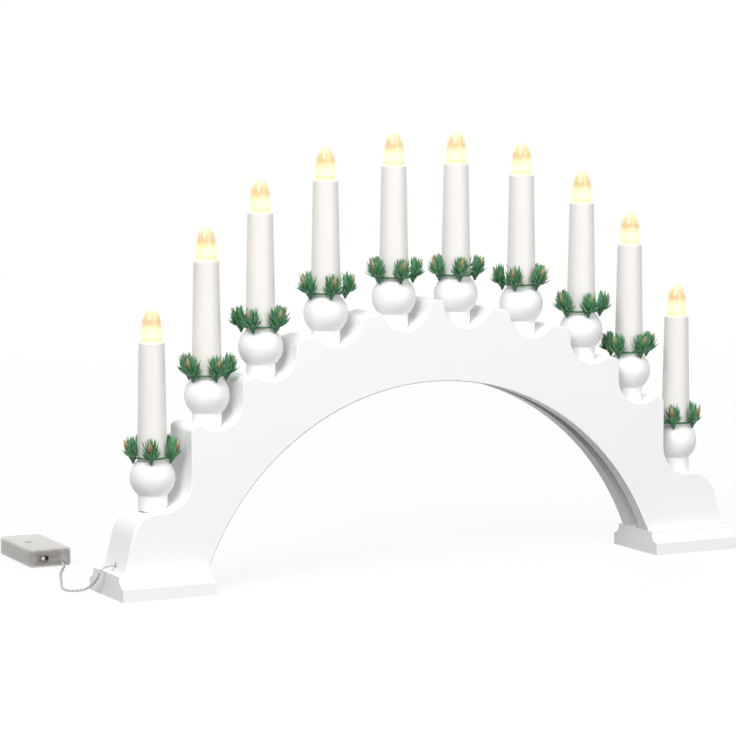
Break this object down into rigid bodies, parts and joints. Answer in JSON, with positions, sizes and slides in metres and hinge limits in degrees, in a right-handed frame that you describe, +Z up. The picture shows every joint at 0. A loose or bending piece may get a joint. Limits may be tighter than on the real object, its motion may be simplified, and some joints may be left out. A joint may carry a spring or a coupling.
{
  "type": "candle arch",
  "caption": "Free-standing white arch with stepped ball cups, electric candles with clear tips, small needle wreaths and a battery box on a short lead.",
  "frame": {"origin": "middle of the foot plane, where the two plinths stand", "axes": "+X along the arch to the right, +Y to its back, +Z up"},
  "size_m": [0.587, 0.2597, 0.3593],
  "materials": {
    "white_lacquer": "white satin lacquer on fibreboard and turned wood",
    "candle_plastic": "white plastic with a slight sheen",
    "clear_plastic": "clear moulded plastic, warm when lit",
    "needle_plastic": "green moulded needles with paler tips and brown buds",
    "zinc_steel": "zinc plated",
    "white_plastic": "moulded",
    "lamp_resin": "clear resin",
    "clear_cord": "translucent insulation over tinned strands",
    "smoky_plastic": "translucent grey, lightly frosted",
    "circuit_board": "solder mask",
    "black_plastic": "moulded",
    "cell_jacket": "plain printed sleeve without marks"
  },
  "bodies": {
    "arch": {"front_board": "white_lacquer", "middle_board": "white_lacquer", "back_board": "white_lacquer", "left_plinth": "white_lacquer", "right_plinth": "white_lacquer", "ball_cup_01": "white_lacquer", "candle_tube_01": "candle_plastic", "bulb_01": "clear_plastic", "ball_cup_02": "white_lacquer", "candle_tube_02": "candle_plastic", "bulb_02": "clear_plastic", "ball_cup_03": "white_lacquer", "candle_tube_03": "candle_plastic", "bulb_03": "clear_plastic", "ball_cup_04": "white_lacquer", "candle_tube_04": "candle_plastic", "bulb_04": "clear_plastic", "ball_cup_05": "white_lacquer", "candle_tube_05": "candle_plastic", "bulb_05": "clear_plastic", "ball_cup_06": "white_lacquer", "candle_tube_06": "candle_plastic", "bulb_06": "clear_plastic", "ball_cup_07": "white_lacquer", "candle_tube_07": "candle_plastic", "bulb_07": "clear_plastic", "ball_cup_08": "white_lacquer", "candle_tube_08": "candle_plastic", "bulb_08": "clear_plastic", "ball_cup_09": "white_lacquer", "candle_tube_09": "candle_plastic", "bulb_09": "clear_plastic", "ball_cup_10": "white_lacquer", "candle_tube_10": "candle_plastic", "bulb_10": "clear_plastic", "plinth_screws": "zinc_steel", "lamp_holders": "white_plastic", "led_lamps": "lamp_resin", "wire_harness": "clear_cord", "lead_cord": "clear_cord", "battery_case": "smoky_plastic", "timer_board": "circuit_board", "switch_body": "black_plastic", "battery_cells": "cell_jacket", "contact_plates": "zinc_steel", "contact_springs": "zinc_steel"},
    "wreath_01": {"wreath_01": "needle_plastic"},
    "wreath_02": {"wreath_02": "needle_plastic"},
    "wreath_03": {"wreath_03": "needle_plastic"},
    "wreath_04": {"wreath_04": "needle_plastic"},
    "wreath_05": {"wreath_05": "needle_plastic"},
    "wreath_06": {"wreath_06": "needle_plastic"},
    "wreath_07": {"wreath_07": "needle_plastic"},
    "wreath_08": {"wreath_08": "needle_plastic"},
    "wreath_09": {"wreath_09": "needle_plastic"},
    "wreath_10": {"wreath_10": "needle_plastic"},
    "battery_lid": {"battery_lid": "smoky_plastic"},
    "lid_screw": {"lid_screw": "zinc_steel"},
    "switch_slider": {"switch_slider": "black_plastic"}
  },
  "joints": [
    {"name": "wreath_01_turn", "type": "hinge", "parent": "arch", "child": "wreath_01", "pos_m": [-0.24264, 0, 0.10809], "axis": [0, 0, 1], "continuous": true},
    {"name": "wreath_02_turn", "type": "hinge", "parent": "arch", "child": "wreath_02", "pos_m": [-0.19539, 0, 0.17064], "axis": [0, 0, 1], "continuous": true},
    {"name": "wreath_03_turn", "type": "hinge", "parent": "arch", "child": "wreath_03", "pos_m": [-0.14821, 0, 0.20702], "axis": [0, 0, 1], "continuous": true},
    {"name": "wreath_04_turn", "type": "hinge", "parent": "arch", "child": "wreath_04", "pos_m": [-0.0903, 0, 0.23149], "axis": [0, 0, 1], "continuous": true},
    {"name": "wreath_05_turn", "type": "hinge", "parent": "arch", "child": "wreath_05", "pos_m": [-0.0287, 0, 0.24193], "axis": [0, 0, 1], "continuous": true},
    {"name": "wreath_06_turn", "type": "hinge", "parent": "arch", "child": "wreath_06", "pos_m": [0.0287, 0, 0.24193], "axis": [0, 0, 1], "continuous": true},
    {"name": "wreath_07_turn", "type": "hinge", "parent": "arch", "child": "wreath_07", "pos_m": [0.0903, 0, 0.23149], "axis": [0, 0, 1], "continuous": true},
    {"name": "wreath_08_turn", "type": "hinge", "parent": "arch", "child": "wreath_08", "pos_m": [0.14821, 0, 0.20702], "axis": [0, 0, 1], "continuous": true},
    {"name": "wreath_09_turn", "type": "hinge", "parent": "arch", "child": "wreath_09", "pos_m": [0.19539, 0, 0.17064], "axis": [0, 0, 1], "continuous": true},
    {"name": "wreath_10_turn", "type": "hinge", "parent": "arch", "child": "wreath_10", "pos_m": [0.24264, 0, 0.10809], "axis": [0, 0, 1], "continuous": true},
    {"name": "lid_lift", "type": "slide", "parent": "arch", "child": "battery_lid", "axis": [0, 0, 1], "range_m": [0, 0.03]},
    {"name": "lid_screw_turn", "type": "hinge", "parent": "battery_lid", "child": "lid_screw", "pos_m": [-0.27538, 0.18746, 0.015], "axis": [0, 0, 1], "continuous": true},
    {"name": "switch_slide", "type": "slide", "parent": "arch", "child": "switch_slider", "axis": [0.9993, -0.0384, 0], "range_m": [0, 0.0024]}
  ]
}
